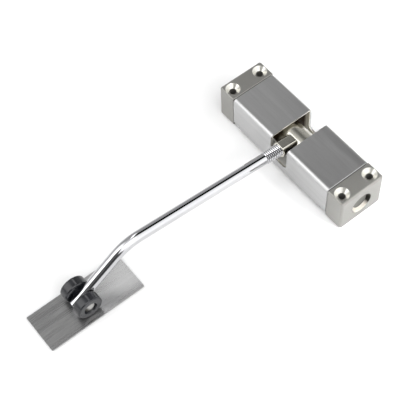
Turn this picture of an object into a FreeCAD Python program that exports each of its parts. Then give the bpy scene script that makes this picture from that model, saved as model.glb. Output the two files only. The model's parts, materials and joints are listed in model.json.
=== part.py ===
import FreeCAD, Part
import math
import os

from FreeCAD import Vector

# A spring door closer with a roller arm, lying on its mounting face beside its rub plate.
# X runs along the spindle, Y points to the back, away from the arm, and Z stands up from the
# mounting face. The origin is the middle of the screw pattern, on the mounting face. Millimetres.

# Body
LENGTH = 115.0
WIDTH = 33.0
HEIGHT = 27.0
SPINDLE_HEIGHT = 13.5

# End blocks
BLOCK_LENGTH = 13.2
BLOCK_TOP_ROUND = 1.0
BLOCK_FOOT_ROUND = 2.2
BLOCK_END_ROUND = 1.6
BLOCK_JOINT_ROUND = 0.5
SPIGOT_LENGTH = 5.0
SCREW_END_INSET = 6.5
SCREW_SIDE_INSET = 5.5
SCREW_HOLE = 4.5
COUNTERSINK = 9.6
COUNTERSINK_ANGLE = 90.0
END_BORE = 15.0

# Sheet cover
SHEET = 1.2
BEND_RADIUS = 2.6
COVER_LIFT = 3.0
COVER_END_GAP = 0.3
COVER_END_ROUND = 0.5
WINDOW_WIDTH = 15.0
WINDOW_SILL = 8.0
WINDOW_CORNER = 3.5
TAB_WIDTH = 4.4
TAB_REACH = 7.0
TAB_BEND = 1.8
TAB_RELIEF = 0.7

# Cover screws
COVER_SCREW = 2.5
COVER_SCREW_DEPTH = 5.0
COVER_SCREW_HEAD = 4.4
COVER_SCREW_HEAD_HEIGHT = 1.3
COVER_SCREW_SLOT = 0.6
COVER_SCREW_SLOT_DEPTH = 0.5
COVER_SCREW_CHAMFER = 0.4

# Spindle and its pin
SPINDLE = 8.0
SPINDLE_SEAT_DEPTH = 9.0
SPINDLE_TAIL = 6.0
SPINDLE_CHAMFER = 0.8
SPINDLE_PIN = 3.0
SPINDLE_PIN_TOP = 6.0

# Hub that carries the arm
BARREL = 19.8
BARREL_ROUND = 0.6
HUB_HALF = 16.0
BARREL_WALL = 0.85
SOCKET_WALL = 1.4
SOCKET_FRONT = 17.2
SOCKET_BACK = 5.4
SOCKET_ROOF = 0.6
SOCKET_EDGE = 1.2
SOCKET_END_ROUND = 0.5
SOCKET_DEPTH = 9.8
LEG_HOLE_DEPTH = 3.0
BUSH_WALL = 1.1
BUSH_LENGTH = 9.0
BUSH_FLANGE = 12.4
BUSH_FLANGE_THICKNESS = 1.0

# Arm rod
ROD = 7.1
ROD_OFFSET = 5.8
ROD_STRAIGHT = 133.0
ROD_LEG = 41.8
ROD_BEND = 39.3
ROD_BEND_RADIUS = 26.0
ROD_TAIL = 6.6
ROD_END_CHAMFER = 0.5
ROD_FLAT_MARGIN = 0.5
ROD_FLAT_THICKNESS = 5.4

# Rollers on their rivet
ROLLER = 16.4
ROLLER_WIDTH = 6.4
ROLLER_ROUND = 0.9
ROLLER_RECESS_DEPTH = 1.4
ROLLER_FACE_RING = 0.5
ROLLER_PIN = 4.0
ROLLER_PIN_HEAD = 6.8
ROLLER_PIN_RIM = 0.25
ROLLER_PIN_DOME = 1.0
WASHER = 7.0
WASHER_THICKNESS = 0.5

# Torsion springs and their seats
SPRING_WIRE = 2.4
SPRING_ELBOW = 2.0
SPRING_LEG = 2.4
SEAT_WALL = 1.15
SEAT_THICKNESS = 3.0
SEAT_DOWEL = 2.5
SEAT_DOWEL_LENGTH = 6.0
SEAT_DOWEL_RADIUS = 7.0
SEAT_PIN = 2.0
SEAT_PIN_BITE = 1.0

# Tension adjuster
HEX_FLATS = 10.0
HEX_HEIGHT = 6.4
HEX_RECESS = 1.6
HEX_TURN = 15.0
HEX_CHAMFER_ANGLE = 30.0
JOURNAL = 11.9
ADJUSTER_PILOT_DEPTH = 10.0

# Rub plate
PLATE_LENGTH = 66.0
PLATE_WIDTH = 27.0
PLATE_THICKNESS = 1.0
PLATE_CORNER = 0.6
PLATE_SHIFT = 2.0
ADHESIVE_THICKNESS = 0.5
ADHESIVE_MARGIN = 1.5

# Clearances
RUNNING_FIT = 0.05
FIXED_FIT = 0.03
WIRE_FIT = 0.15
SIDE_PLAY = 0.3
ROLLER_PLAY = 0.25
ROLLER_REST_GAP = 0.3
RIVET_PLAY = 0.5
GUIDE_PLAY = 0.4
TURN_GAP = 0.5

# Sizes and places that follow from those above
END = LENGTH / 2
SHOULDER = END - BLOCK_LENGTH
SPIGOT_END = SHOULDER - SPIGOT_LENGTH
SEAT_OUTER = SPIGOT_END - SIDE_PLAY
SEAT_INNER = SEAT_OUTER - SEAT_THICKNESS
SPIGOT_FLOOR = COVER_LIFT + SHEET
SCREW_SPACING_X = LENGTH - 2 * SCREW_END_INSET
SCREW_SPACING_Y = WIDTH - 2 * SCREW_SIDE_INSET
SOCKET = ROD + 2 * RUNNING_FIT + 2 * SOCKET_WALL
SOCKET_FLAT = ROD / 2 + RUNNING_FIT + SOCKET_ROOF
ROLLER_RECESS = ROLLER_PIN_HEAD + 2 * RIVET_PLAY
ROLLER_CENTRE_HEIGHT = ADHESIVE_THICKNESS + PLATE_THICKNESS + ROLLER_REST_GAP + ROLLER / 2
ROLLER_INNER = ROD_FLAT_THICKNESS / 2 + WASHER_THICKNESS + ROLLER_PLAY
ROLLER_OUTER = ROLLER_INNER + ROLLER_WIDTH
SPRING_RADIUS = BARREL / 2 - BARREL_WALL - WIRE_FIT - SPRING_WIRE / 2
SEAT = 2 * SPRING_RADIUS + SPRING_WIRE + 2 * WIRE_FIT + 2 * SEAT_WALL
SPRING_ROOM = SEAT_INNER - HUB_HALF - 2 * SPRING_ELBOW
SPRING_HALF_TURNS = 2 * int(SPRING_ROOM / (SPRING_WIRE + TURN_GAP)) + 1
SPINDLE_START = -SHOULDER - SPINDLE_SEAT_DEPTH
SPINDLE_STOP = SHOULDER + SPINDLE_TAIL - SPIGOT_LENGTH
X_AXIS = Vector(1, 0, 0)
Y_AXIS = Vector(0, 1, 0)
Z_AXIS = Vector(0, 0, 1)


def along_x(diameter, x0, x1, y=0.0, z=SPINDLE_HEIGHT):
    """Cylinder with its axis along X."""
    return Part.makeCylinder(diameter / 2, x1 - x0, Vector(x0, y, z), X_AXIS)


def along_z(diameter, z0, z1, x, y):
    """Cylinder with its axis along Z."""
    return Part.makeCylinder(diameter / 2, z1 - z0, Vector(x, y, z0), Z_AXIS)


def block_between(low, high):
    """Box between two corners."""
    size = [b - a for a, b in zip(low, high)]
    return Part.makeBox(size[0], size[1], size[2], Vector(*low))


def turned(profile):
    """Solid turned about the X axis from (x, radius) points."""
    points = [Vector(x, radius, 0) for x, radius in profile]
    wire = Part.makePolygon(points + points[:1])
    return Part.Face(wire).revolve(Vector(0, 0, 0), X_AXIS, 360)


def mirrored(shape):
    """Copy on the other side of the arm's plane."""
    return shape.mirror(Vector(0, 0, 0), X_AXIS)


def edges_at(shape, test):
    """Edges whose every end point passes the test."""
    return [edge for edge in shape.Edges if all(test(vertex.Point) for vertex in edge.Vertexes)]


def rims(shape, diameter):
    """Circular edges of one diameter."""
    circles = [edge for edge in shape.Edges if isinstance(edge.Curve, Part.Circle)]
    return [edge for edge in circles if abs(2 * edge.Curve.Radius - diameter) < 1e-6]


def arc_points(centre, radius, start, stop):
    """Start, middle and end of an arc in the YZ plane, angles in degrees from +Y."""
    points = []
    for angle in (start, (start + stop) / 2, stop):
        turn = math.radians(angle)
        points.append(Vector(0, centre[0] + radius * math.cos(turn), centre[1] + radius * math.sin(turn)))
    return points


def rounded_section(half_width, floor, top, foot_round, top_round):
    """Face in the YZ plane: a rectangle with its lower and upper corners rounded."""
    corners = [
        arc_points((half_width - foot_round, floor + foot_round), foot_round, -90, 0),
        arc_points((half_width - top_round, top - top_round), top_round, 0, 90),
        arc_points((-half_width + top_round, top - top_round), top_round, 90, 180),
        arc_points((-half_width + foot_round, floor + foot_round), foot_round, 180, 270),
    ]
    edges = []
    for index, corner in enumerate(corners):
        following = corners[(index + 1) % len(corners)]
        edges.append(Part.Arc(*corner).toShape())
        edges.append(Part.LineSegment(corner[2], following[0]).toShape())
    return Part.Face(Part.Wire(edges))


def sheet_section():
    """Face in the YZ plane: the cover's bent sheet, two walls and a top."""
    half = WIDTH / 2
    centre = (half - BEND_RADIUS, HEIGHT - BEND_RADIUS)
    inner = BEND_RADIUS - SHEET
    outside = arc_points(centre, BEND_RADIUS, 0, 90)
    inside = arc_points(centre, inner, 90, 0)
    flip = [Vector(0, -point.y, point.z) for point in outside][::-1]
    flip_inside = [Vector(0, -point.y, point.z) for point in inside][::-1]
    foot = [Vector(0, half, COVER_LIFT), Vector(0, half - SHEET, COVER_LIFT)]
    flip_foot = [Vector(0, -half, COVER_LIFT), Vector(0, -half + SHEET, COVER_LIFT)]
    edges = [
        Part.LineSegment(foot[0], outside[0]),
        Part.Arc(*outside),
        Part.LineSegment(outside[2], flip[0]),
        Part.Arc(*flip),
        Part.LineSegment(flip[2], flip_foot[0]),
        Part.LineSegment(flip_foot[0], flip_foot[1]),
        Part.LineSegment(flip_foot[1], flip_inside[0]),
        Part.Arc(*flip_inside),
        Part.LineSegment(flip_inside[2], inside[0]),
        Part.Arc(*inside),
        Part.LineSegment(inside[2], foot[1]),
        Part.LineSegment(foot[1], foot[0]),
    ]
    return Part.Face(Part.Wire([edge.toShape() for edge in edges]))


def cover_screw_places():
    """Middle of each cover tab, in plan."""
    x = SHOULDER - COVER_END_GAP - TAB_WIDTH / 2
    y = WIDTH / 2 - TAB_REACH + COVER_SCREW_HEAD / 2 + SIDE_PLAY
    return [(side * x, wall * y) for side in (-1, 1) for wall in (-1, 1)]


def end_block():
    """Right-hand casting with its spigot, screw holes and cover-screw holes, without a bore."""
    outer = rounded_section(WIDTH / 2, 0.0, HEIGHT, BLOCK_FOOT_ROUND, BLOCK_TOP_ROUND)
    body = outer.extrude(Vector(BLOCK_LENGTH, 0, 0))
    body.translate(Vector(SHOULDER, 0, 0))
    rim = edges_at(body, lambda point: abs(point.x - END) < 1e-6)
    body = body.makeFillet(BLOCK_END_ROUND, rim)
    joint = edges_at(body, lambda point: abs(point.x - SHOULDER) < 1e-6)
    body = body.makeFillet(BLOCK_JOINT_ROUND, joint)

    spigot_half = WIDTH / 2 - SHEET - FIXED_FIT
    spigot_top = HEIGHT - SHEET - FIXED_FIT
    inner_round = BEND_RADIUS - SHEET
    spigot = rounded_section(spigot_half, SPIGOT_FLOOR, spigot_top, BLOCK_TOP_ROUND, inner_round)
    spigot = spigot.extrude(Vector(SPIGOT_LENGTH, 0, 0))
    spigot.translate(Vector(SPIGOT_END, 0, 0))
    block = body.fuse(spigot)

    sink_depth = (COUNTERSINK - SCREW_HOLE) / 2 / math.tan(math.radians(COUNTERSINK_ANGLE / 2))
    for side in (-1, 1):
        x = SCREW_SPACING_X / 2
        y = side * SCREW_SPACING_Y / 2
        block = block.cut(along_z(SCREW_HOLE, 0.0, HEIGHT, x, y))
        place = Vector(x, y, HEIGHT - sink_depth)
        block = block.cut(Part.makeCone(SCREW_HOLE / 2, COUNTERSINK / 2, sink_depth, place, Z_AXIS))
    for x, y in cover_screw_places():
        if x > 0:
            depth = SPIGOT_FLOOR + COVER_SCREW_DEPTH
            block = block.cut(along_z(COVER_SCREW + 2 * FIXED_FIT, SPIGOT_FLOOR, depth, x, y))
    return block


def left_end_block():
    """Casting that holds the fixed end of the spindle."""
    block = mirrored(end_block())
    block = block.cut(along_x(SPINDLE + 2 * FIXED_FIT, SPINDLE_START, -SPIGOT_END))
    pin_x, pin_top = spindle_pin_place()
    block = block.cut(along_z(SPINDLE_PIN + 2 * FIXED_FIT, 0.0, pin_top, pin_x, 0.0))
    dowel_stop = -SEAT_OUTER - SEAT_DOWEL_LENGTH + SEAT_THICKNESS
    dowel_z = SPINDLE_HEIGHT - SEAT_DOWEL_RADIUS
    return block.cut(along_x(SEAT_DOWEL + 2 * FIXED_FIT, dowel_stop, -SPIGOT_END, z=dowel_z))


def right_end_block():
    """Casting with the bore for the tension adjuster and its wrench."""
    return end_block().cut(along_x(END_BORE, SPIGOT_END, END))


def cover():
    """Bent sheet with the arm's window across it and four tabs turned in under the spigots."""
    half_length = SHOULDER - COVER_END_GAP
    shell = sheet_section().extrude(Vector(2 * half_length, 0, 0))
    shell.translate(Vector(-half_length, 0, 0))
    skin = edges_at(shell, lambda point: max(abs(point.y) - WIDTH / 2, point.z - HEIGHT) > -1e-6)
    ends = [edge for edge in skin if abs(edge.Vertexes[0].X - edge.Vertexes[1].X) < 1e-6]
    shell = shell.makeFillet(COVER_END_ROUND, ends)

    window = block_between((-WINDOW_WIDTH / 2, -WIDTH, WINDOW_SILL), (WINDOW_WIDTH / 2, WIDTH, 2 * HEIGHT))
    sill = edges_at(window, lambda point: abs(point.z - WINDOW_SILL) < 1e-6)
    sill = [edge for edge in sill if abs(edge.Vertexes[0].Y - edge.Vertexes[1].Y) > WIDTH]
    shell = shell.cut(window.makeFillet(WINDOW_CORNER, sill))

    tab = tab_section().extrude(Vector(TAB_WIDTH, 0, 0))
    tab.translate(Vector(half_length - TAB_WIDTH, 0, 0))
    hole_x, hole_y = cover_screw_places()[-1]
    tab = tab.cut(along_z(COVER_SCREW + 2 * WIRE_FIT, 0.0, HEIGHT / 2, hole_x, hole_y))
    low = (half_length - TAB_WIDTH - TAB_RELIEF, 0.0, 0.0)
    relief = block_between(low, (LENGTH, WIDTH, COVER_LIFT + TAB_BEND))
    for flip_x in (False, True):
        for flip_y in (False, True):
            pieces = [relief, tab]
            if flip_x:
                pieces = [mirrored(piece) for piece in pieces]
            if flip_y:
                pieces = [piece.mirror(Vector(0, 0, 0), Y_AXIS) for piece in pieces]
            shell = shell.cut(pieces[0]).fuse(pieces[1])
    return shell.removeSplitter()


def tab_section():
    """Face in the YZ plane: one tab bent in from the foot of the back wall."""
    half = WIDTH / 2
    centre = (half - TAB_BEND, COVER_LIFT + TAB_BEND)
    outside = arc_points(centre, TAB_BEND, 0, -90)
    inside = arc_points(centre, TAB_BEND - SHEET, -90, 0)
    tip = [Vector(0, half - TAB_REACH, COVER_LIFT), Vector(0, half - TAB_REACH, COVER_LIFT + SHEET)]
    edges = [
        Part.Arc(*outside),
        Part.LineSegment(outside[2], tip[0]),
        Part.LineSegment(tip[0], tip[1]),
        Part.LineSegment(tip[1], inside[0]),
        Part.Arc(*inside),
        Part.LineSegment(inside[2], outside[0]),
    ]
    return Part.Face(Part.Wire([edge.toShape() for edge in edges]))


def cover_screws():
    """Four slotted screws that hold the tabs to the spigots from below."""
    screws = []
    head_foot = COVER_LIFT - COVER_SCREW_HEAD_HEIGHT
    shank_top = SPIGOT_FLOOR + COVER_SCREW_DEPTH - SIDE_PLAY
    for x, y in cover_screw_places():
        head = along_z(COVER_SCREW_HEAD, head_foot, COVER_LIFT, x, y)
        lower = edges_at(head, lambda point: abs(point.z - head_foot) < 1e-6)
        head = head.makeChamfer(COVER_SCREW_CHAMFER, lower)
        half_slot = COVER_SCREW_SLOT / 2
        low = (x - COVER_SCREW_HEAD, y - half_slot, 0.0)
        high = (x + COVER_SCREW_HEAD, y + half_slot, head_foot + COVER_SCREW_SLOT_DEPTH)
        head = head.cut(block_between(low, high))
        screws.append(head.fuse(along_z(COVER_SCREW, COVER_LIFT, shank_top, x, y)))
    return Part.makeCompound(screws)


def spindle():
    """Fixed shaft from the left block to the adjuster's pilot bore."""
    shaft = along_x(SPINDLE, SPINDLE_START, SPINDLE_STOP)
    shaft = shaft.makeChamfer(SPINDLE_CHAMFER, rims(shaft, SPINDLE))
    pin_x, pin_top = spindle_pin_place()
    return shaft.cut(along_z(SPINDLE_PIN + 2 * FIXED_FIT, 0.0, pin_top, pin_x, 0.0))


def spindle_pin_place():
    """X of the pin that locks the spindle, and the height of its blind hole."""
    return SPINDLE_START + SPINDLE_SEAT_DEPTH / 2, SPINDLE_HEIGHT + SPINDLE_PIN_TOP


def spindle_pin():
    """Pin driven up through the left block and the spindle."""
    pin_x, pin_top = spindle_pin_place()
    return along_z(SPINDLE_PIN, SIDE_PLAY, pin_top - SIDE_PLAY, pin_x, 0.0)


def rest_lift():
    """Angle in degrees that the arm is raised from level when its rollers rest on the plate."""
    pin_y, pin_z = roller_pin_place()
    hang = math.atan2(pin_z, -pin_y)
    reach = math.hypot(pin_y, pin_z)
    rise = math.asin((ROLLER_CENTRE_HEIGHT - SPINDLE_HEIGHT) / reach)
    return math.degrees(rise - hang)


def roller_pin_place():
    """Y and Z of the rollers' pin, from the spindle's axis, with the rod's straight run level."""
    bend = math.radians(ROD_BEND)
    return -ROD_STRAIGHT - ROD_LEG * math.cos(bend), ROD_OFFSET - ROD_LEG * math.sin(bend)


def at_rest(shape):
    """Swing a piece of the arm, drawn about the spindle's axis, to where it rests."""
    placed = shape.copy()
    placed.rotate(Vector(0, 0, 0), X_AXIS, -rest_lift())
    placed.translate(Vector(0, 0, SPINDLE_HEIGHT))
    return placed


def socket_section():
    """Face across the rod at the socket's front: a circle with a flat on top, its corners rounded."""
    radius = SOCKET / 2
    level = SOCKET_FLAT - SOCKET_EDGE
    reach = math.sqrt((radius - SOCKET_EDGE) ** 2 - level ** 2)
    lean = math.atan2(level, reach)

    def corner(angle):
        """Point on the right-hand corner round, at an angle from +X."""
        x = reach + SOCKET_EDGE * math.cos(angle)
        z = level + SOCKET_EDGE * math.sin(angle)
        return Vector(x, -SOCKET_FRONT, ROD_OFFSET + z)

    right = [corner(angle) for angle in (lean, (lean + math.pi / 2) / 2, math.pi / 2)]
    left = [Vector(-point.x, point.y, point.z) for point in right]
    foot = Vector(0, -SOCKET_FRONT, ROD_OFFSET - radius)
    edges = [
        Part.Arc(*right),
        Part.LineSegment(right[2], left[2]),
        Part.Arc(*left[::-1]),
        Part.Arc(left[0], foot, right[0]),
    ]
    return Part.Face(Part.Wire([edge.toShape() for edge in edges]))


def arm_hub():
    """Barrel on the spindle, with a hole for each spring's leg and a flat-topped socket for the rod."""
    barrel = along_x(BARREL, -HUB_HALF, HUB_HALF, z=0.0)
    barrel = barrel.makeFillet(BARREL_ROUND, rims(barrel, BARREL))
    socket = socket_section().extrude(Vector(0, SOCKET_FRONT - SOCKET_BACK, 0))
    ends = edges_at(socket, lambda point: abs(point.y + SOCKET_FRONT) < 1e-6)
    ends += edges_at(socket, lambda point: abs(point.y + SOCKET_BACK) < 1e-6)
    hub = barrel.fuse(socket.makeFillet(SOCKET_END_ROUND, ends))

    hole_front = Vector(0, -2 * SOCKET_FRONT, ROD_OFFSET)
    hole_length = rod_start() + SIDE_PLAY - hole_front.y
    hub = hub.cut(Part.makeCylinder(ROD / 2 + RUNNING_FIT, hole_length, hole_front, Y_AXIS))
    bush_outer = SPINDLE + 2 * RUNNING_FIT + 2 * BUSH_WALL
    hub = hub.cut(along_x(bush_outer + 2 * FIXED_FIT, -HUB_HALF, HUB_HALF, z=0.0))
    for side in (1, -1):
        sink = along_x(BUSH_FLANGE + 2 * FIXED_FIT, HUB_HALF - BUSH_FLANGE_THICKNESS, HUB_HALF, z=0.0)
        hub = hub.cut(sink if side > 0 else mirrored(sink))
    hub = at_rest(hub)
    for side in (1, -1):
        leg = spring_leg_hole(HUB_HALF - LEG_HOLE_DEPTH, HUB_HALF, inner=True)
        hub = hub.cut(leg if side > 0 else mirrored(leg))
    return hub.removeSplitter()


def rod_start():
    """Y of the rod's inner end, at the bottom of the socket."""
    return -SOCKET_FRONT + SOCKET_DEPTH


def hub_bush():
    """Flanged bearing in the right end of the hub's barrel, drawn about the spindle's axis."""
    bore = SPINDLE + 2 * RUNNING_FIT
    outer = bore + 2 * BUSH_WALL
    inner_end = HUB_HALF - BUSH_LENGTH
    flange_start = HUB_HALF - BUSH_FLANGE_THICKNESS
    profile = [
        (inner_end, bore / 2), (inner_end, outer / 2), (flange_start, outer / 2),
        (flange_start, BUSH_FLANGE / 2), (HUB_HALF, BUSH_FLANGE / 2), (HUB_HALF, bore / 2),
    ]
    return at_rest(turned(profile))


def arm_rod():
    """Round bar: straight run, bend, and a leg with a flattened end for the rollers."""
    bend = math.radians(ROD_BEND)
    tangent = ROD_BEND_RADIUS * math.tan(bend / 2)
    down = Vector(0, -math.cos(bend), -math.sin(bend))
    corner = Vector(0, -ROD_STRAIGHT, ROD_OFFSET)
    start = Vector(0, rod_start(), ROD_OFFSET)
    bend_start = corner + Vector(0, tangent, 0)
    bend_end = corner + down * tangent
    centre = (bend_start.y, ROD_OFFSET - ROD_BEND_RADIUS)
    stop = corner + down * (ROD_LEG + ROD_TAIL)
    path = Part.Wire([
        Part.LineSegment(start, bend_start).toShape(),
        Part.Arc(*arc_points(centre, ROD_BEND_RADIUS, 90, 90 + ROD_BEND)).toShape(),
        Part.LineSegment(bend_end, stop).toShape(),
    ])
    section = Part.Wire([Part.makeCircle(ROD / 2, start, Y_AXIS)])
    rod = path.makePipeShell([section], True, True)
    ends = edges_at(rod, lambda point: min((point - start).Length, (point - stop).Length) < ROD)
    rod = rod.makeChamfer(ROD_END_CHAMFER, ends)

    flat_length = ROD_TAIL + ROLLER / 2 + ROD_FLAT_MARGIN
    low = (ROD_FLAT_THICKNESS / 2, -flat_length, -ROD)
    flat_tool = block_between(low, (ROD, flat_length, ROD))
    flat_tool.rotate(Vector(0, 0, 0), X_AXIS, ROD_BEND)
    flat_tool.translate(stop)
    rod = rod.cut([flat_tool, mirrored(flat_tool)])
    pin_y, pin_z = roller_pin_place()
    hole = ROLLER_PIN + 2 * FIXED_FIT
    return at_rest(rod.cut(along_x(hole, -ROD, ROD, pin_y, pin_z)))


def roller():
    """Near roller, turned, with a recess for the rivet's head in its outer face."""
    bore = ROLLER_PIN / 2 + RUNNING_FIT
    recess = ROLLER_OUTER - ROLLER_RECESS_DEPTH
    ring = ROLLER_FACE_RING
    profile = [
        (ROLLER_INNER, bore), (ROLLER_INNER, ROLLER / 2), (ROLLER_OUTER, ROLLER / 2),
        (ROLLER_OUTER, ROLLER_RECESS / 2 + ring), (recess, ROLLER_RECESS / 2), (recess, bore),
    ]
    wheel = turned(profile)
    return at_pin(wheel.makeFillet(ROLLER_ROUND, rims(wheel, ROLLER)))


def at_pin(shape):
    """Move a piece, drawn about the X axis, to the rollers' pin at rest."""
    pin_y, pin_z = roller_pin_place()
    placed = shape.copy()
    placed.translate(Vector(0, pin_y, pin_z))
    return at_rest(placed)


def roller_pin():
    """Rivet through the rod and both rollers, with a domed head at each end."""
    head_seat = ROLLER_OUTER - ROLLER_RECESS_DEPTH + ROLLER_PLAY
    head_top = head_seat + ROLLER_PIN_RIM + ROLLER_PIN_DOME
    dome_radius = (ROLLER_PIN_HEAD ** 2 / 4 + ROLLER_PIN_DOME ** 2) / (2 * ROLLER_PIN_DOME)
    head = along_x(ROLLER_PIN_HEAD, head_seat, head_top, z=0.0)
    head = head.common(Part.makeSphere(dome_radius, Vector(head_top - dome_radius, 0, 0)))
    right = along_x(ROLLER_PIN, 0.0, head_seat, z=0.0).fuse(head)
    return at_pin(right.fuse(mirrored(right)).removeSplitter())


def roller_washer():
    """Spacer between the rod's near flat and the near roller."""
    inner = ROD_FLAT_THICKNESS / 2
    hole = ROLLER_PIN + 2 * FIXED_FIT
    ring = along_x(WASHER, inner, inner + WASHER_THICKNESS, z=0.0)
    return at_pin(ring.cut(along_x(hole, 0.0, WASHER, z=0.0)))


def spring_leg_place(inner):
    """Y and Z of a leg of the right spring: the inner one at the hub, the outer one at the seat."""
    half_turns = 0 if inner else SPRING_HALF_TURNS
    return -SPRING_ELBOW, SPINDLE_HEIGHT - SPRING_RADIUS * (-1) ** half_turns


def spring_leg_hole(x0, x1, inner):
    """Tool that drills the hole for a leg of the right spring."""
    y, z = spring_leg_place(inner)
    return along_x(SPRING_WIRE + 2 * WIRE_FIT, x0, x1, y, z)


def right_spring():
    """Coil of tilted half turns between the hub and the right seat, with a leg bent out at each end."""
    coil_start = HUB_HALF + SPRING_ELBOW
    advance = SPRING_ROOM / SPRING_HALF_TURNS
    tilted_radius = math.hypot(SPRING_RADIUS, advance / 2)

    def joint(index):
        """Where one half turn meets the next, below or above the spindle."""
        height = SPINDLE_HEIGHT - SPRING_RADIUS * (-1) ** index
        return Vector(coil_start + index * advance, 0, height)

    edges = spring_leg(joint(0), -1)
    for index in range(SPRING_HALF_TURNS):
        x = coil_start + (index + 0.5) * advance
        middle = Vector(x, tilted_radius * (-1) ** index, SPINDLE_HEIGHT)
        edges.append(Part.Arc(joint(index), middle, joint(index + 1)).toShape())
    edges += spring_leg(joint(SPRING_HALF_TURNS), 1)[::-1]
    path = Part.Wire(edges)
    y, z = spring_leg_place(inner=True)
    tip = Vector(HUB_HALF - SPRING_LEG, y, z)
    section = Part.Wire([Part.makeCircle(SPRING_WIRE / 2, tip, X_AXIS)])
    return path.makePipeShell([section], True, True)


def spring_leg(end, way):
    """Straight leg and elbow that lead to one end of the coil, from the leg's tip."""
    corner = end + Vector(way * SPRING_ELBOW, -SPRING_ELBOW, 0)
    turn = SPRING_ELBOW * (1 - math.sqrt(0.5))
    middle = end + Vector(way * turn, -SPRING_ELBOW + turn, 0)
    tip = corner + Vector(way * SPRING_LEG, 0, 0)
    return [Part.LineSegment(tip, corner).toShape(), Part.Arc(corner, middle, end).toShape()]


def seat_disc(bore):
    """Disc at the outer end of the right spring, with the hole for the spring's leg."""
    disc = along_x(SEAT, SEAT_INNER, SEAT_OUTER).cut(along_x(bore, 0.0, LENGTH))
    return disc.cut(spring_leg_hole(SEAT_INNER, SEAT_OUTER, inner=False))


def left_spring_seat():
    """Disc on the spindle, keyed to the left block by a dowel."""
    disc = mirrored(seat_disc(SPINDLE + 2 * FIXED_FIT))
    dowel_z = SPINDLE_HEIGHT - SEAT_DOWEL_RADIUS
    return disc.cut(along_x(SEAT_DOWEL + 2 * FIXED_FIT, -SEAT_OUTER, -SEAT_INNER, z=dowel_z))


def left_seat_dowel():
    """Dowel from the left block into the left spring's seat."""
    dowel_z = SPINDLE_HEIGHT - SEAT_DOWEL_RADIUS
    stop = -SEAT_OUTER - SEAT_DOWEL_LENGTH + SEAT_THICKNESS
    return along_x(SEAT_DOWEL, stop + FIXED_FIT, stop + SEAT_DOWEL_LENGTH, z=dowel_z)


def seat_pin_shaft(diameter):
    """Upright pin from the foot of the right seat into the adjuster's journal."""
    middle = (SEAT_INNER + SEAT_OUTER) / 2
    foot = SPINDLE_HEIGHT - SEAT / 2
    return along_z(diameter, foot, SPINDLE_HEIGHT - JOURNAL / 2 + SEAT_PIN_BITE, middle, 0.0)


def right_spring_seat():
    """Disc fixed on the adjuster's journal, which turns with it."""
    disc = seat_disc(JOURNAL + 2 * FIXED_FIT)
    return disc.cut(seat_pin_shaft(SEAT_PIN + 2 * FIXED_FIT))


def right_seat_pin():
    """Pin that locks the right seat to the adjuster, flush with the seat's rim."""
    rim = along_x(SEAT - 2 * FIXED_FIT, SEAT_INNER, SEAT_OUTER)
    return seat_pin_shaft(SEAT_PIN).common(rim)


def tension_adjuster():
    """Hexagon that a wrench turns in the end bore, with the journal that carries the spring's seat."""
    hex_face = END - HEX_RECESS
    hex_foot = hex_face - HEX_HEIGHT
    corner = HEX_FLATS / 2 / math.cos(math.radians(30))
    points = []
    for index in range(7):
        turn = math.radians(HEX_TURN + 60 * index)
        points.append(Vector(hex_foot, corner * math.cos(turn), SPINDLE_HEIGHT + corner * math.sin(turn)))
    head = Part.Face(Part.makePolygon(points)).extrude(Vector(HEX_HEIGHT, 0, 0))
    flare = HEX_HEIGHT / math.tan(math.radians(HEX_CHAMFER_ANGLE))
    foot = Vector(hex_foot, 0, SPINDLE_HEIGHT)
    head = head.common(Part.makeCone(HEX_FLATS / 2 + flare, HEX_FLATS / 2, HEX_HEIGHT, foot, X_AXIS))
    journal = along_x(JOURNAL, SEAT_INNER, hex_foot)
    body = journal.fuse(head)
    pilot = along_x(SPINDLE + 2 * RUNNING_FIT, SEAT_INNER, SEAT_INNER + ADJUSTER_PILOT_DEPTH)
    return body.cut([pilot, seat_pin_shaft(SEAT_PIN + 2 * FIXED_FIT)])


def adjuster_bush():
    """Sleeve in the right block's bore that the adjuster turns in."""
    outer_end = END - HEX_RECESS - HEX_HEIGHT - SIDE_PLAY
    sleeve = along_x(END_BORE - 2 * FIXED_FIT, SPIGOT_END, outer_end)
    return sleeve.cut(along_x(JOURNAL + 2 * RUNNING_FIT, 0.0, LENGTH))


def spring_guide():
    """Sleeve on the spindle inside the right spring."""
    bore = SPINDLE + 2 * FIXED_FIT
    outer = 2 * SPRING_RADIUS - SPRING_WIRE - 2 * GUIDE_PLAY
    start = HUB_HALF + SIDE_PLAY
    stop = SEAT_INNER - SIDE_PLAY
    return along_x(outer, start, stop).cut(along_x(bore, start, stop))


def plate_sheet(length, width, floor, thickness, corner):
    """Flat sheet under the rollers, with rounded corners."""
    pin_y = at_pin(Part.Vertex(0, 0, 0)).Point.y + PLATE_SHIFT
    low = (-width / 2, pin_y - length / 2, floor)
    sheet = block_between(low, (width / 2, pin_y + length / 2, floor + thickness))
    posts = [edge for edge in sheet.Edges if abs(edge.Vertexes[0].Z - edge.Vertexes[1].Z) > thickness / 2]
    return sheet.makeFillet(corner, posts)


def rub_plate():
    """Steel plate that is stuck to the door where the rollers run."""
    return plate_sheet(PLATE_LENGTH, PLATE_WIDTH, ADHESIVE_THICKNESS, PLATE_THICKNESS, PLATE_CORNER)


def plate_adhesive():
    """Adhesive pad on the rub plate's back."""
    length = PLATE_LENGTH - 2 * ADHESIVE_MARGIN
    width = PLATE_WIDTH - 2 * ADHESIVE_MARGIN
    return plate_sheet(length, width, 0.0, ADHESIVE_THICKNESS, PLATE_CORNER)


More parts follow.
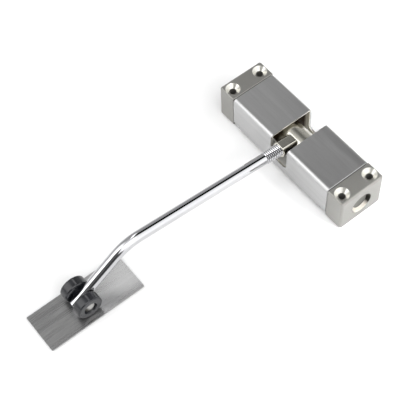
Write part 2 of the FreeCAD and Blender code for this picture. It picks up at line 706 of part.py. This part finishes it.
def pieces():
    """Every node's name with its solid."""
    return {
        "left_end_block": left_end_block(),
        "right_end_block": right_end_block(),
        "cover": cover(),
        "cover_screws": cover_screws(),
        "spindle": spindle(),
        "spindle_pin": spindle_pin(),
        "arm_hub": arm_hub(),
        "left_hub_bush": mirrored(hub_bush()),
        "right_hub_bush": hub_bush(),
        "arm_rod": arm_rod(),
        "near_roller": roller(),
        "far_roller": mirrored(roller()),
        "roller_pin": roller_pin(),
        "near_roller_washer": roller_washer(),
        "far_roller_washer": mirrored(roller_washer()),
        "left_spring": mirrored(right_spring()),
        "right_spring": right_spring(),
        "left_spring_seat": left_spring_seat(),
        "right_spring_seat": right_spring_seat(),
        "left_seat_dowel": left_seat_dowel(),
        "right_seat_pin": right_seat_pin(),
        "left_spring_guide": mirrored(spring_guide()),
        "right_spring_guide": spring_guide(),
        "tension_adjuster": tension_adjuster(),
        "adjuster_bush": adjuster_bush(),
        "rub_plate": rub_plate(),
        "plate_adhesive": plate_adhesive(),
    }


os.makedirs("parts", exist_ok=True)
for name, shape in pieces().items():
    shape.exportStep("parts/" + name + ".step")
pin = at_pin(Part.Vertex(0, 0, 0)).Point
print("arm raised", round(rest_lift(), 3), "degrees; roller pin at", round(pin.y, 3), round(pin.z, 3))
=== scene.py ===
import json
import math

import bpy
from mathutils import Matrix, Vector


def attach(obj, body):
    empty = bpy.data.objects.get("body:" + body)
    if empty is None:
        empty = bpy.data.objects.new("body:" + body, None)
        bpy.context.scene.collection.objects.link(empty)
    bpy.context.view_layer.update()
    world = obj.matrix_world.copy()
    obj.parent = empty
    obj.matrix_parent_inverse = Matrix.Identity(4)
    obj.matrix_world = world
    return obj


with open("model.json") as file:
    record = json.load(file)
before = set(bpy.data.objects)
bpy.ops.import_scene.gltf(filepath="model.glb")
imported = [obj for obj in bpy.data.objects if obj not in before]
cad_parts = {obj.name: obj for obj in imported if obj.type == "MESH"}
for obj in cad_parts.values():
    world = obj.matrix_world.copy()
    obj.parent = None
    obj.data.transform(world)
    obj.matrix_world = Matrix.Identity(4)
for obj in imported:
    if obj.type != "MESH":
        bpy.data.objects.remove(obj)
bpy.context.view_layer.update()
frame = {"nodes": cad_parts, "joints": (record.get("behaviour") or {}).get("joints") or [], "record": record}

MM = 0.001

# The photograph's view, fitted to the corners of the body and the plate
CAMERA_PLACE = (285.5 * MM, -277.2 * MM, 577.5 * MM)
CAMERA_AZIMUTH = 55.07
CAMERA_ELEVATION = 57.75
CAMERA_ROLL = -3.99
CAMERA_SENSOR = 36.0
CAMERA_LENS = 99.0
CAMERA_NEAR = 10.0 * MM

# Axes and screw holes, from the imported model
JOINTS = {joint["name"]: joint for joint in frame["joints"]}
MOUNTS = {mount["name"]: mount for mount in frame["record"]["mounts"]}
SPINDLE = Vector(JOINTS["arm_swing"]["pos_m"])
ROLLER_PIN = Vector(JOINTS["near_roller_spin"]["pos_m"])
SCREWS = MOUNTS["screw_holes"]["dims"]
SCREW_PLACE = (SCREWS["spacing_x_mm"] / 2 * MM, SCREWS["spacing_y_mm"] / 2 * MM, 0.0)
SCREW_RADIUS = SCREWS["hole_r_mm"] * MM

# Other sizes of the body and the arm, as the CAD model has them
WIDTH = 33.0 * MM
HEIGHT = 27.0 * MM
SHEET = 1.2 * MM
COVER_LIFT = 3.0 * MM
WINDOW = 15.0 * MM
END_BORE = 15.0 * MM
COUNTERSINK = 9.6 * MM
COUNTERSINK_DEPTH = COUNTERSINK / 2 - SCREW_RADIUS
ROD_OFFSET = 5.8 * MM
ROD_STRAIGHT = 133.0 * MM
ROD_LEG = 41.8 * MM
ROD_BEND = math.radians(39.3)
SOCKET_FRONT = 17.2 * MM

# Thread rolled on the rod where it enters the hub
THREAD_PITCH = 1.35 * MM
THREAD_CREST = 4.0 * MM
THREAD_ROOT = 3.6 * MM
THREAD_CORE = 3.45 * MM
THREAD_CREST_WIDTH = 0.14 * MM
THREAD_FLANK_WIDTH = 0.48 * MM
THREAD_SHOWN = 12.5 * MM
THREAD_HIDDEN = 1.5 * MM
THREAD_STEPS = 40

# Where most of a noise's values lie, and the whole range of a share
NOISE_RANGE = (0.3, 0.7)
STREAK_RANGE = (0.38, 0.62)
MARK_RANGE = (0.35, 0.65)
WHOLE = (0.0, 1.0)

# Soft edge of a finish that stops at a place on a piece
MASK_EDGE = 0.1 * MM

# Brushed sheet: waves per metre along and across its lines, and how far reflections stretch across them
BRUSH_FINE = (70.0, 6000.0)
BRUSH_BROAD = (10.0, 340.0)
BRUSH_BROAD_DETAIL = 5.0
BRUSH_BROAD_ROUGHNESS = 0.65
BRUSH_BROAD_SHARE = 0.5
BRUSH_BUMP = 0.004 * MM
BRUSH_BUMP_STRENGTH = 0.5
BRUSHED_STRETCH = 0.7

# Tangent for cut faces square to the lines, which get none from the lines
CUT_FACE_TANGENT = (0.02, 0.0, 0.02)

# Inside of the bent cover: pale mill finish near the window, and painted shade from some way behind its
# edges
INNER_SKIN = (-0.8 * SHEET, -0.6 * SHEET)
MILL_DARK = (0.82, 0.78, 0.68)
MILL_LIGHT = (0.90, 0.86, 0.76)
MILL_ROUGH = (0.42, 0.50)
MILL_METALLIC = 0.2
COVER_PAINTED_SHADE_DARK = (0.05, 0.028, 0.012)
COVER_PAINTED_SHADE_LIGHT = (0.11, 0.065, 0.03)
COVER_PAINTED_SHADE_START = 2.5 * MM
COVER_PAINTED_SHADE_FULL = 4.5 * MM

# Satin nickel: orange peel and clouding in waves per metre
PEEL_WAVES = 900.0
PEEL_DETAIL = 3.0
PEEL_BUMP = 0.01 * MM
PEEL_BUMP_STRENGTH = 0.3
CLOUD_WAVES = 60.0

# End blocks: share of their nickel that mirrors, and the countersinks' machined finish
NICKEL_METALLIC = 0.6
MACHINED_DARK = (0.62, 0.61, 0.565)
MACHINED_LIGHT = (0.69, 0.68, 0.635)
MACHINED_ROUGH = (0.13, 0.19)
HOLE_RIM = 0.05 * MM

# Right block's bore: raw metal painted light below and painted shade above, and how far below the spindle
# one turns into the other
BORE_RAW_PAINTED_LIGHT = (0.92, 0.87, 0.78)
BORE_PAINTED_SHADE = (0.03, 0.028, 0.025)
BORE_RAW_PAINTED_LIGHT_TOP = 6.4 * MM
BORE_PAINTED_SHADE_FOOT = 4.2 * MM

# Chrome plate and its handling haze
CHROME_DARK = (0.57, 0.57, 0.59)
CHROME_LIGHT = (0.615, 0.615, 0.63)
CHROME_ROUGH = (0.04, 0.09)
HAZE_WAVES = (120.0, 40.0, 120.0)
HAZE_DETAIL = 5.0

# Metal with tool marks, and the painted shade on one side of the roller pin's heads
MARK_WAVES = (2500.0, 500.0, 500.0)
MARK_DETAIL = 3.0
MARK_SHADE = 0.88
MARK_BUMP = 0.01 * MM
MARK_BUMP_STRENGTH = 0.4
PIN_PAINTED_SHADE_DARK = (0.02, 0.018, 0.014)
PIN_PAINTED_SHADE_LIGHT = (0.06, 0.055, 0.045)
PIN_PAINTED_SHADE_SIDE = (0.0, -0.8, -0.6)
PIN_PAINTED_SHADE_REACH = (-0.3 * MM, 1.3 * MM)

# Non-metals: their fine grain and their mottling
GRAIN_WAVES = 3000.0
GRAIN_DETAIL = 3.0
GRAIN_BUMP = 0.02 * MM
GRAIN_BUMP_STRENGTH = 0.4
MOTTLE_DETAIL = 5.0

# Floor, with half its side in metres
FLOOR_HALF = 30.0
FLOOR_DROP = 0.2 * MM
FLOOR_DARK = 0.93
FLOOR_LIGHT = 0.95
FLOOR_ROUGH = 0.9
FLOOR_WAVES = 3.0
FLOOR_DETAIL = 2.0

# Soft boxes, in metres, watts and degrees
KEY_BOX = {
    "place": (0.66, -0.30, 0.97),
    "target": (0.0, -0.08, 0.0),
    "size": (0.9, 0.9),
    "power": 3.6,
}
END_BOX = {
    "place": (0.34, 0.12, 0.26),
    "target": (0.12, 0.04, 0.0),
    "size": (0.12, 0.12),
    "power": 0.09,
    "spread_angle": 34.0,
}
PLATE_BOX = {
    "place": (-0.10, -0.085, 0.22),
    "target": (0.0, -0.135, 0.0),
    "size": (0.04, 0.10),
    "power": 0.027,
}

# Wall all round: its bright side, its level at the left and the right, and where one turns into the other
WALL_BRIGHT_SIDE = (1.0, -0.2, 0.1)
WALL_LEFT = 0.5
WALL_RIGHT = 1.45
WALL_CHANGE = (-0.6, 0.5)

# Patches of the wall: direction, outer and inner angle in degrees, and the factor on the wall's level
WALL_PATCHES = [
    ((-0.165, 0.41, 0.90), (20.0, 12.0), 0.05),
    ((-0.15, 0.56, 0.815), (20.0, 12.0), 0.05),
    ((-0.42, 0.41, 0.81), (30.0, 12.0), 0.84),
    ((0.45, -0.74, 0.50), (33.0, 24.0), 0.10),
    ((0.86, -0.49, 0.14), (22.0, 15.0), 0.10),
    ((0.85, 0.30, 0.44), (32.0, 14.0), 1.15),
    ((-0.45, -0.62, 0.64), (34.0, 14.0), 3.0),
]


# Node helpers


def thrice(value):
    """One value for three axes, or a grey of that level."""
    return (value, value, value)


def new_material(name):
    """Empty node material with its Principled shader and a place for coordinates."""
    material = bpy.data.materials.new(name)
    material.use_nodes = True
    tree = material.node_tree
    shader = tree.nodes["Principled BSDF"]
    coords = tree.nodes.new("ShaderNodeTexCoord")
    return material, tree, shader, coords


def noise(tree, coords, waves, detail=4.0, roughness=0.55):
    """Noise over object coordinates, with its own waves per metre along X, Y and Z."""
    mapping = tree.nodes.new("ShaderNodeMapping")
    mapping.inputs["Scale"].default_value = waves
    tree.links.new(coords.outputs["Object"], mapping.inputs["Vector"])
    texture = tree.nodes.new("ShaderNodeTexNoise")
    texture.inputs["Scale"].default_value = 1.0
    texture.inputs["Detail"].default_value = detail
    texture.inputs["Roughness"].default_value = roughness
    tree.links.new(mapping.outputs["Vector"], texture.inputs["Vector"])
    return texture.outputs["Fac"]


def shades(tree, value, dark, light, over=NOISE_RANGE):
    """Colour that runs from dark to light over a range of a value."""
    node = tree.nodes.new("ShaderNodeValToRGB")
    for element, place, colour in zip(node.color_ramp.elements, over, (dark, light)):
        element.position = place
        element.color = (*colour, 1.0)
    tree.links.new(value, node.inputs["Fac"])
    return node.outputs["Color"]


def spread(tree, value, low, high, over=NOISE_RANGE, smooth=False):
    """Number that runs from low to high over a range of a value, and stays level outside it."""
    node = tree.nodes.new("ShaderNodeMapRange")
    if smooth:
        node.interpolation_type = "SMOOTHSTEP"
    node.inputs["From Min"].default_value = over[0]
    node.inputs["From Max"].default_value = over[1]
    node.inputs["To Min"].default_value = low
    node.inputs["To Max"].default_value = high
    tree.links.new(value, node.inputs["Value"])
    return node.outputs["Result"]


def beyond(tree, value, edge):
    """Share that goes from 0 to 1 just past an edge."""
    return spread(tree, value, 0.0, 1.0, (edge, edge + MASK_EDGE))


def short_of(tree, value, edge):
    """Share that goes from 1 to 0 just short of an edge."""
    return spread(tree, value, 1.0, 0.0, (edge - MASK_EDGE, edge))


def blended(tree, first, second, share):
    """Weighted sum of two values, with the second one's share."""
    node = tree.nodes.new("ShaderNodeMix")
    node.inputs["Factor"].default_value = share
    tree.links.new(first, node.inputs["A"])
    tree.links.new(second, node.inputs["B"])
    return node.outputs["Result"]


def mixed(tree, share, first, second, kind="RGBA"):
    """Mix of two linked colours or numbers, by a linked share of the second."""
    node = tree.nodes.new("ShaderNodeMix")
    node.data_type = kind
    tree.links.new(share, node.inputs["Factor"])
    tree.links.new(first, node.inputs["A"])
    tree.links.new(second, node.inputs["B"])
    return node.outputs["Result"]


def bump(tree, value, distance, strength):
    """Bump from a height value, with its distance in metres."""
    node = tree.nodes.new("ShaderNodeBump")
    node.inputs["Distance"].default_value = distance
    node.inputs["Strength"].default_value = strength
    tree.links.new(value, node.inputs["Height"])
    return node.outputs["Normal"]


def number_math(tree, operation, first, second):
    """Operation on two linked numbers."""
    node = tree.nodes.new("ShaderNodeMath")
    node.operation = operation
    tree.links.new(first, node.inputs[0])
    tree.links.new(second, node.inputs[1])
    return node.outputs["Value"]


def vector_math(tree, operation, first, second=None):
    """Vector operation on a linked vector and, where it takes two, a fixed one."""
    node = tree.nodes.new("ShaderNodeVectorMath")
    node.operation = operation
    tree.links.new(first, node.inputs[0])
    if second is not None:
        node.inputs[1].default_value = second
    return node


def from_axis(tree, point, place, kept):
    """Distance from an axis through a place, over the axes that are kept, in metres."""
    offset = vector_math(tree, "SUBTRACT", point, place).outputs["Vector"]
    flat = vector_math(tree, "MULTIPLY", offset, kept).outputs["Vector"]
    return vector_math(tree, "LENGTH", flat).outputs["Value"]


def parts_of(tree, vector):
    """The X, Y and Z of a vector, as sockets."""
    node = tree.nodes.new("ShaderNodeSeparateXYZ")
    tree.links.new(vector, node.inputs["Vector"])
    return node.outputs


# Materials


def brush_waves(along, lengthwise, across):
    """Waves per metre on each axis, for lines that run along X or Y."""
    return tuple(lengthwise if axis == along else across for axis in "XYZ")


def inside_sheet(tree, point):
    """Share of the cover's inner faces: 0 on its outer skin and its underside, and 1 on its inner skin."""
    side = vector_math(tree, "ABSOLUTE", point).outputs["Vector"]
    offset = vector_math(tree, "SUBTRACT", side, (0.0, WIDTH / 2, HEIGHT)).outputs["Vector"]
    reach = parts_of(tree, offset)
    below = spread(tree, parts_of(tree, point)["Z"], COVER_LIFT, COVER_LIFT - HEIGHT, (0.0, HEIGHT))
    outermost = number_math(tree, "MAXIMUM", reach["Y"], reach["Z"])
    outermost = number_math(tree, "MAXIMUM", outermost, below)
    return spread(tree, outermost, 1.0, 0.0, INNER_SKIN)


def with_inside(tree, shader, point, broad, colour, gloss):
    """A bent sheet's colour and gloss with its inside: mill finish near the window, and painted shade deeper
    in.
    """
    inside = inside_sheet(tree, point)
    mill = shades(tree, broad, MILL_DARK, MILL_LIGHT)
    # Painted shade on the inner faces from some way behind the window's edges
    shade_paint = shades(tree, broad, COVER_PAINTED_SHADE_DARK, COVER_PAINTED_SHADE_LIGHT)
    from_middle = parts_of(tree, vector_math(tree, "ABSOLUTE", point).outputs["Vector"])["X"]
    edge = WINDOW / 2
    deep = spread(tree, from_middle, 0.0, 1.0, (edge + COVER_PAINTED_SHADE_START, edge + COVER_PAINTED_SHADE_FULL))
    tree.links.new(spread(tree, inside, 1.0, MILL_METALLIC, WHOLE), shader.inputs["Metallic"])
    colour = mixed(tree, inside, colour, mixed(tree, deep, mill, shade_paint))
    gloss = mixed(tree, inside, gloss, spread(tree, broad, *MILL_ROUGH), "FLOAT")
    return colour, gloss


def brushed_steel(name, along, dark, light, rough, bent=False):
    """Stainless sheet brushed along X or Y, with streaks in tone, gloss and height.

    Its reflections blur across the lines. A bent sheet also has its own finish inside, with painted shade
    deeper in.
    """
    material, tree, shader, coords = new_material(name)
    fine = noise(tree, coords, brush_waves(along, *BRUSH_FINE))
    broad_waves = brush_waves(along, *BRUSH_BROAD)
    broad = noise(tree, coords, broad_waves, BRUSH_BROAD_DETAIL, BRUSH_BROAD_ROUGHNESS)
    streaks = blended(tree, fine, broad, BRUSH_BROAD_SHARE)
    colour = shades(tree, streaks, thrice(dark), thrice(light), STREAK_RANGE)
    gloss = spread(tree, streaks, *rough, STREAK_RANGE)
    shader.inputs["Metallic"].default_value = 1.0
    if bent:
        colour, gloss = with_inside(tree, shader, coords.outputs["Object"], broad, colour, gloss)
    tree.links.new(colour, shader.inputs["Base Color"])
    tree.links.new(gloss, shader.inputs["Roughness"])
    tree.links.new(bump(tree, fine, BRUSH_BUMP, BRUSH_BUMP_STRENGTH), shader.inputs["Normal"])
    shader.inputs["Anisotropic"].default_value = BRUSHED_STRETCH
    surface = tree.nodes.new("ShaderNodeNewGeometry").outputs["Normal"]
    lines = (1.0, 0.0, 0.0) if along == "X" else (0.0, 1.0, 0.0)
    across = vector_math(tree, "CROSS_PRODUCT", surface, lines).outputs["Vector"]
    across = vector_math(tree, "ADD", across, CUT_FACE_TANGENT).outputs["Vector"]
    tree.links.new(across, shader.inputs["Tangent"])
    return material


def with_countersinks(tree, point, peel, colour, gloss):
    """A block's colour and gloss with its countersinks machined bright."""
    side = vector_math(tree, "ABSOLUTE", point).outputs["Vector"]
    from_screw = from_axis(tree, side, SCREW_PLACE, (1.0, 1.0, 0.0))
    outside_hole = beyond(tree, from_screw, SCREW_RADIUS + HOLE_RIM)
    within_rim = short_of(tree, from_screw, COUNTERSINK / 2)
    near_top = beyond(tree, parts_of(tree, point)["Z"], HEIGHT - COUNTERSINK_DEPTH - MASK_EDGE)
    sink = number_math(tree, "MULTIPLY", outside_hole, within_rim)
    sink = number_math(tree, "MULTIPLY", sink, near_top)
    machined = shades(tree, peel, MACHINED_DARK, MACHINED_LIGHT)
    colour = mixed(tree, sink, colour, machined)
    gloss = mixed(tree, sink, gloss, spread(tree, peel, *MACHINED_ROUGH), "FLOAT")
    return colour, gloss


def with_bore(tree, shader, point, colour):
    """A block's colour with the right block's end bore: raw metal painted light below, and painted shade
    above.
    """
    place = parts_of(tree, point)
    from_spindle = from_axis(tree, point, SPINDLE, (0.0, 1.0, 1.0))
    on_left = short_of(tree, place["X"], 0.0)
    plated = number_math(tree, "MAXIMUM", beyond(tree, from_spindle, END_BORE / 2), on_left)
    # Painted light on the bore's lower wall and painted shade on its upper wall, changing with height
    painted_shade = spread(tree, place["Z"], 0.0, 1.0, (SPINDLE.z - BORE_RAW_PAINTED_LIGHT_TOP, SPINDLE.z - BORE_PAINTED_SHADE_FOOT))
    bore = shades(tree, painted_shade, BORE_RAW_PAINTED_LIGHT, BORE_PAINTED_SHADE, WHOLE)
    tree.links.new(spread(tree, plated, 0.0, NICKEL_METALLIC, WHOLE), shader.inputs["Metallic"])
    return mixed(tree, plated, bore, colour)


def satin_nickel(name, dark, light, rough, block=False):
    """Satin nickel over die-cast metal: warm, with a faint orange-peel surface.

    An end block also has bright countersinks and, at the right, a bore of raw metal painted light below and
    painted shade above.
    """
    material, tree, shader, coords = new_material(name)
    point = coords.outputs["Object"]
    peel = noise(tree, coords, thrice(PEEL_WAVES), PEEL_DETAIL)
    cloud = noise(tree, coords, thrice(CLOUD_WAVES))
    colour = shades(tree, cloud, dark, light)
    gloss = spread(tree, cloud, *rough)
    tree.links.new(bump(tree, peel, PEEL_BUMP, PEEL_BUMP_STRENGTH), shader.inputs["Normal"])
    shader.inputs["Metallic"].default_value = 1.0
    if block:
        colour, gloss = with_countersinks(tree, point, peel, colour, gloss)
        colour = with_bore(tree, shader, point, colour)
    tree.links.new(colour, shader.inputs["Base Color"])
    tree.links.new(gloss, shader.inputs["Roughness"])
    return material


def chrome():
    """Polished chrome plate with a trace of handling haze."""
    material, tree, shader, coords = new_material("polished_chrome")
    haze = noise(tree, coords, HAZE_WAVES, HAZE_DETAIL)
    tree.links.new(shades(tree, haze, CHROME_DARK, CHROME_LIGHT), shader.inputs["Base Color"])
    tree.links.new(spread(tree, haze, *CHROME_ROUGH), shader.inputs["Roughness"])
    shader.inputs["Metallic"].default_value = 1.0
    return material


def bright_steel(name, tone, rough, painted_shade=False):
    """Metal with fine tool marks; the roller pin's has painted shade on its lower front side."""
    material, tree, shader, coords = new_material(name)
    marks = noise(tree, coords, MARK_WAVES, MARK_DETAIL)
    dark = tuple(MARK_SHADE * part for part in tone)
    colour = shades(tree, marks, dark, tone, MARK_RANGE)
    if painted_shade:
        # Painted shade on the lower front side of the pin's heads
        offset = vector_math(tree, "SUBTRACT", coords.outputs["Object"], ROLLER_PIN).outputs["Vector"]
        below = vector_math(tree, "DOT_PRODUCT", offset, PIN_PAINTED_SHADE_SIDE).outputs["Value"]
        shade_paint = shades(tree, marks, PIN_PAINTED_SHADE_DARK, PIN_PAINTED_SHADE_LIGHT, MARK_RANGE)
        colour = mixed(tree, spread(tree, below, 0.0, 1.0, PIN_PAINTED_SHADE_REACH), colour, shade_paint)
    tree.links.new(colour, shader.inputs["Base Color"])
    tree.links.new(spread(tree, marks, *rough), shader.inputs["Roughness"])
    tree.links.new(bump(tree, marks, MARK_BUMP, MARK_BUMP_STRENGTH), shader.inputs["Normal"])
    shader.inputs["Metallic"].default_value = 1.0
    return material


def grained(name, dark, light, rough, waves, shine=0.5):
    """Non-metal with a mottled tone and a fine grain."""
    material, tree, shader, coords = new_material(name)
    mottle = noise(tree, coords, thrice(waves), MOTTLE_DETAIL)
    grain = noise(tree, coords, thrice(GRAIN_WAVES), GRAIN_DETAIL)
    tree.links.new(shades(tree, mottle, dark, light), shader.inputs["Base Color"])
    tree.links.new(spread(tree, mottle, *rough), shader.inputs["Roughness"])
    tree.links.new(bump(tree, grain, GRAIN_BUMP, GRAIN_BUMP_STRENGTH), shader.inputs["Normal"])
    shader.inputs["Specular IOR Level"].default_value = shine
    return material


BRUSHED_COVER = brushed_steel("brushed_cover", "X", dark=0.475, light=0.555, rough=(0.32, 0.38), bent=True)
BRUSHED_PLATE = brushed_steel("brushed_plate", "Y", dark=0.32, light=0.43, rough=(0.25, 0.31))
NICKEL = satin_nickel(
    "satin_nickel", dark=(0.280, 0.275, 0.259), light=(0.308, 0.303, 0.286), rough=(0.30, 0.39), block=True
)
HUB_NICKEL = satin_nickel(
    "hub_nickel", dark=(0.60, 0.585, 0.52), light=(0.67, 0.655, 0.59), rough=(0.20, 0.29)
)
CHROME = chrome()
STEEL = bright_steel("bright_steel", tone=(0.72, 0.71, 0.69), rough=(0.15, 0.28))
SEAT_STEEL = bright_steel("seat_steel", tone=(0.62, 0.58, 0.48), rough=(0.23, 0.36))
RIVET_STEEL = bright_steel("rivet_steel", tone=(0.45, 0.445, 0.43), rough=(0.09, 0.22), painted_shade=True)
ADJUSTER_STEEL = bright_steel("adjuster_steel", tone=(0.14, 0.14, 0.125), rough=(0.29, 0.42))
SPRING_STEEL = bright_steel("oiled_spring_steel", tone=(0.16, 0.15, 0.145), rough=(0.27, 0.40))
BRONZE = bright_steel("bronze", tone=(0.55, 0.36, 0.16), rough=(0.25, 0.38))
NYLON = grained(
    "roller_nylon", dark=(0.006, 0.007, 0.009), light=(0.015, 0.016, 0.021), rough=(0.13, 0.27), waves=260.0,
    shine=0.6,
)
# Painted shade for the thread's root faces
THREAD_ROOT_PAINTED_SHADE = grained(
    "thread_root_painted_shade", dark=(0.010, 0.009, 0.008), light=(0.025, 0.023, 0.020), rough=(0.33, 0.47), waves=900.0
)
GUIDE = grained(
    "natural_nylon", dark=(0.66, 0.64, 0.58), light=(0.76, 0.74, 0.69), rough=(0.38, 0.52), waves=700.0
)
FOAM = grained(
    "adhesive_foam", dark=(0.62, 0.62, 0.60), light=(0.74, 0.74, 0.72), rough=(0.73, 0.87), waves=1800.0
)

FINISHES = {
    BRUSHED_COVER: ["cover"],
    BRUSHED_PLATE: ["rub_plate"],
    NICKEL: ["left_end_block", "right_end_block"],
    HUB_NICKEL: ["arm_hub"],
    CHROME: ["arm_rod"],
    STEEL: ["cover_screws", "spindle", "spindle_pin", "left_seat_dowel", "right_seat_pin"],
    SEAT_STEEL: ["left_spring_seat", "right_spring_seat"],
    RIVET_STEEL: ["roller_pin"],
    ADJUSTER_STEEL: ["tension_adjuster"],
    SPRING_STEEL: ["left_spring", "right_spring"],
    BRONZE: ["left_hub_bush", "right_hub_bush", "adjuster_bush"],
    NYLON: ["near_roller", "far_roller", "near_roller_washer", "far_roller_washer"],
    GUIDE: ["left_spring_guide", "right_spring_guide"],
    FOAM: ["plate_adhesive"],
}
for finish, names in FINISHES.items():
    for name in names:
        slots = frame["nodes"][name].data.materials
        slots.clear()
        slots.append(finish)


# Arm thread


def arm_matrix():
    """Places what is drawn about the spindle, with the rod level, where the arm rests."""
    pin = ROLLER_PIN - SPINDLE
    level_reach = ROD_STRAIGHT + ROD_LEG * math.cos(ROD_BEND)
    level_height = ROD_OFFSET - ROD_LEG * math.sin(ROD_BEND)
    lift = math.atan2(pin.z, -pin.y) - math.atan2(level_height, level_reach)
    return Matrix.Translation(SPINDLE) @ Matrix.Rotation(-lift, 4, "X")


def rod_thread():
    """Helical ridge on the rod with painted shade in its root, from just inside the socket to some way in
    front.
    """
    start = SOCKET_FRONT - THREAD_HIDDEN
    length = THREAD_HIDDEN + THREAD_SHOWN
    turns = length / THREAD_PITCH
    count = int(turns * THREAD_STEPS)
    crest = THREAD_CREST_WIDTH / 2
    foot = crest + THREAD_FLANK_WIDTH
    edge = THREAD_PITCH / 2
    profile = [
        (-edge, THREAD_CORE), (-edge, THREAD_ROOT), (-foot, THREAD_ROOT), (-crest, THREAD_CREST),
        (crest, THREAD_CREST), (foot, THREAD_ROOT), (edge, THREAD_ROOT), (edge, THREAD_CORE),
    ]
    # Root faces get the painted shade material
    root_sides = (1, 5)
    sides = len(profile)
    vertices = []
    faces = []
    tones = []
    for step in range(count + 1):
        share = step / count
        angle = share * turns * 2 * math.pi
        fade = min(1.0, (1.0 - share) * turns, share * turns)
        for along, radius in profile:
            reach = THREAD_CORE + (radius - THREAD_CORE) * fade
            y = -start - share * length + along
            vertices.append((reach * math.cos(angle), y, ROD_OFFSET + reach * math.sin(angle)))
        if step:
            base = sides * (step - 1)
            for side in range(sides):
                after = (side + 1) % sides
                faces.append((base + side, base + after, base + sides + after, base + sides + side))
                tones.append(1 if side in root_sides else 0)
    last = sides * count
    faces += [tuple(range(sides))[::-1], tuple(last + side for side in range(sides))]
    tones += [0, 0]
    mesh = bpy.data.meshes.new("rod_thread")
    mesh.from_pydata(vertices, [], faces)
    mesh.materials.append(CHROME)
    mesh.materials.append(THREAD_ROOT_PAINTED_SHADE)
    mesh.polygons.foreach_set("material_index", tones)
    mesh.transform(arm_matrix())
    mesh.update()
    thread = bpy.data.objects.new("rod_thread", mesh)
    bpy.context.scene.collection.objects.link(thread)
    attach(thread, "arm")


rod_thread()


# Stage


def floor():
    """Plain pale floor under the closer."""
    material, tree, shader, coords = new_material("pale_floor")
    shade = noise(tree, coords, thrice(FLOOR_WAVES), FLOOR_DETAIL)
    colour = shades(tree, shade, thrice(FLOOR_DARK), thrice(FLOOR_LIGHT))
    tree.links.new(colour, shader.inputs["Base Color"])
    shader.inputs["Roughness"].default_value = FLOOR_ROUGH
    mesh = bpy.data.meshes.new("floor")
    half = FLOOR_HALF
    corners = [(-half, -half), (half, -half), (half, half), (-half, half)]
    mesh.from_pydata([(x, y, -FLOOR_DROP) for x, y in corners], [], [(0, 1, 2, 3)])
    mesh.materials.append(material)
    plane = bpy.data.objects.new("floor", mesh)
    bpy.context.scene.collection.objects.link(plane)


def soft_box(name, place, target, size, power, spread_angle=180.0):
    """Rectangular light that looks at a point, with its light kept within a spread angle."""
    light = bpy.data.lights.new(name, "AREA")
    light.shape = "RECTANGLE"
    light.size, light.size_y = size
    light.energy = power
    light.spread = math.radians(spread_angle)
    lamp = bpy.data.objects.new(name, light)
    lamp.location = place
    lamp.rotation_euler = (Vector(target) - Vector(place)).to_track_quat("-Z", "Y").to_euler()
    bpy.context.scene.collection.objects.link(lamp)
    return lamp


def towards(tree, coords, direction):
    """How nearly a ray of the surroundings points in a direction, from -1 to 1."""
    aim = Vector(direction).normalized()
    return vector_math(tree, "DOT_PRODUCT", coords.outputs["Generated"], aim).outputs["Value"]


def patch(tree, coords, direction, angles, factor):
    """Factor that goes from 1 at the outer angle from a direction to its own value at the inner one."""
    over = [math.cos(math.radians(angle)) for angle in angles]
    return spread(tree, towards(tree, coords, direction), 1.0, factor, over, smooth=True)


def studio():
    """Wall all round, bright at the right and dim at the left, with patches, and three soft boxes."""
    world = bpy.data.worlds.new("studio")
    bpy.context.scene.world = world
    world.use_nodes = True
    tree = world.node_tree
    background = tree.nodes["Background"]
    coords = tree.nodes.new("ShaderNodeTexCoord")
    rightness = towards(tree, coords, WALL_BRIGHT_SIDE)
    level = spread(tree, rightness, WALL_LEFT, WALL_RIGHT, WALL_CHANGE, smooth=True)
    for direction, angles, factor in WALL_PATCHES:
        level = number_math(tree, "MULTIPLY", level, patch(tree, coords, direction, angles, factor))
    tree.links.new(level, background.inputs["Strength"])
    background.inputs["Color"].default_value = (1.0, 1.0, 1.0, 1.0)
    soft_box("key_box", **KEY_BOX)
    end_box = soft_box("end_box", **END_BOX)
    # This box would show as a white patch in the cover's top when that is seen from the left
    end_box.visible_glossy = False
    soft_box("plate_box", **PLATE_BOX)


def camera():
    """The photograph's viewpoint."""
    azimuth = math.radians(CAMERA_AZIMUTH)
    elevation = math.radians(CAMERA_ELEVATION)
    roll = math.radians(CAMERA_ROLL)
    flat = math.cos(elevation)
    back = Vector((math.sin(azimuth) * flat, -math.cos(azimuth) * flat, math.sin(elevation)))
    level = Vector((0, 0, 1)).cross(back).normalized()
    upright = back.cross(level)
    right = level * math.cos(roll) + upright * math.sin(roll)
    up = back.cross(right)
    lens = bpy.data.cameras.new("camera")
    lens.sensor_width = CAMERA_SENSOR
    lens.lens = CAMERA_LENS
    lens.clip_start = CAMERA_NEAR
    viewer = bpy.data.objects.new("camera", lens)
    turn = Matrix((right, up, back)).transposed()
    viewer.matrix_world = Matrix.Translation(CAMERA_PLACE) @ turn.to_4x4()
    bpy.context.scene.collection.objects.link(viewer)
    bpy.context.scene.camera = viewer


floor()
studio()
camera()
bpy.context.scene.view_settings.view_transform = "Standard"
